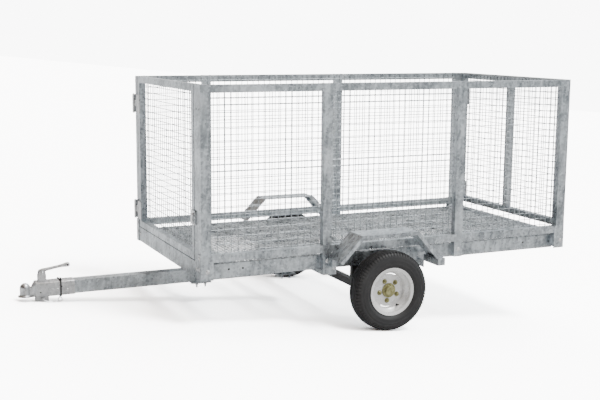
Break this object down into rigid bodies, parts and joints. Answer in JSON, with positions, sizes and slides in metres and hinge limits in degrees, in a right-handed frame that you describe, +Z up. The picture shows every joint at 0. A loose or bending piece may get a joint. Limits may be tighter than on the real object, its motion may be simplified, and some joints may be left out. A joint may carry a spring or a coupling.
{
  "type": "caged utility trailer",
  "caption": "Single-axle galvanised utility trailer with a mesh cage, side-hinged gates at both ends, trapezoidal mudguards and a ball coupling.",
  "frame": {"origin": "on the floor, under the middle of the parked trailer's bounding box", "axes": "-X towards the drawbar and coupling, +X rear, -Y left side, +Y right side, +Z up; the trailer is parked nose-down on its coupling, so its body is pitched about Y"},
  "size_m": [3.3743, 1.594, 1.5702],
  "materials": {
    "galvanised_steel": "hot-dip galvanised, matt with faint spangle",
    "galvanised_wire": "galvanised welded wire and floor mesh",
    "zinc_coupling": "zinc plated, satin",
    "black_running_gear": "black paint, satin",
    "rim_paint": "silver-white enamel",
    "tyre_rubber": "black rubber"
  },
  "bodies": {
    "chassis": {"chassis_rail_left": "galvanised_steel", "chassis_rail_right": "galvanised_steel", "front_end_member": "galvanised_steel", "rear_end_member": "galvanised_steel", "floor_bearers": "galvanised_steel", "floor_sheet": "galvanised_wire", "drawbar": "galvanised_steel", "drawbar_risers": "galvanised_steel", "drawbar_clamps": "galvanised_steel", "coupling_body": "zinc_coupling", "coupling_bracket": "zinc_coupling", "coupling_handle": "zinc_coupling", "coupling_catch": "zinc_coupling", "axle_beam": "black_running_gear", "axle_brackets": "black_running_gear", "swing_arm_left": "black_running_gear", "swing_arm_right": "black_running_gear", "guard_cross_members": "galvanised_steel", "guard_brackets": "galvanised_steel", "mudguard_left": "galvanised_steel", "mudguard_right": "galvanised_steel", "posts_left": "galvanised_steel", "posts_right": "galvanised_steel", "cage_rails_left": "galvanised_steel", "cage_rails_right": "galvanised_steel", "side_mesh_left": "galvanised_wire", "side_mesh_right": "galvanised_wire", "corner_feet": "galvanised_steel", "latch_post": "galvanised_steel", "gate_hinge_pins": "galvanised_steel", "latch_studs": "galvanised_steel"},
    "front_gate": {"front_gate_frame": "galvanised_steel", "front_gate_mesh": "galvanised_wire", "front_gate_hinges": "galvanised_steel", "front_gate_latch": "galvanised_steel"},
    "rear_gate": {"rear_gate_frame": "galvanised_steel", "rear_gate_mesh": "galvanised_wire", "rear_gate_hinges": "galvanised_steel", "rear_gate_latch": "galvanised_steel"},
    "wheel_left": {"hub_left": "galvanised_steel", "rim_left": "rim_paint", "tyre_left": "tyre_rubber", "wheel_nuts_left": "galvanised_steel"},
    "wheel_right": {"hub_right": "galvanised_steel", "rim_right": "rim_paint", "tyre_right": "tyre_rubber", "wheel_nuts_right": "galvanised_steel"}
  },
  "joints": [
    {"name": "wheel_left_spin", "type": "hinge", "parent": "chassis", "child": "wheel_left", "pos_m": [0.30181, -0.731, 0.236], "axis": [0, 1, 0], "continuous": true},
    {"name": "wheel_right_spin", "type": "hinge", "parent": "chassis", "child": "wheel_right", "pos_m": [0.30181, 0.731, 0.236], "axis": [0, 1, 0], "continuous": true},
    {"name": "front_gate_swing", "type": "hinge", "parent": "chassis", "child": "front_gate", "pos_m": [-0.85117, 0.627, 0.40893], "axis": [0.0979, 0, -0.9952], "range_deg": [0, 180]},
    {"name": "rear_gate_swing", "type": "hinge", "parent": "chassis", "child": "rear_gate", "pos_m": [1.66966, 0.627, 0.65696], "axis": [-0.0979, 0, 0.9952], "range_deg": [0, 180]}
  ]
}
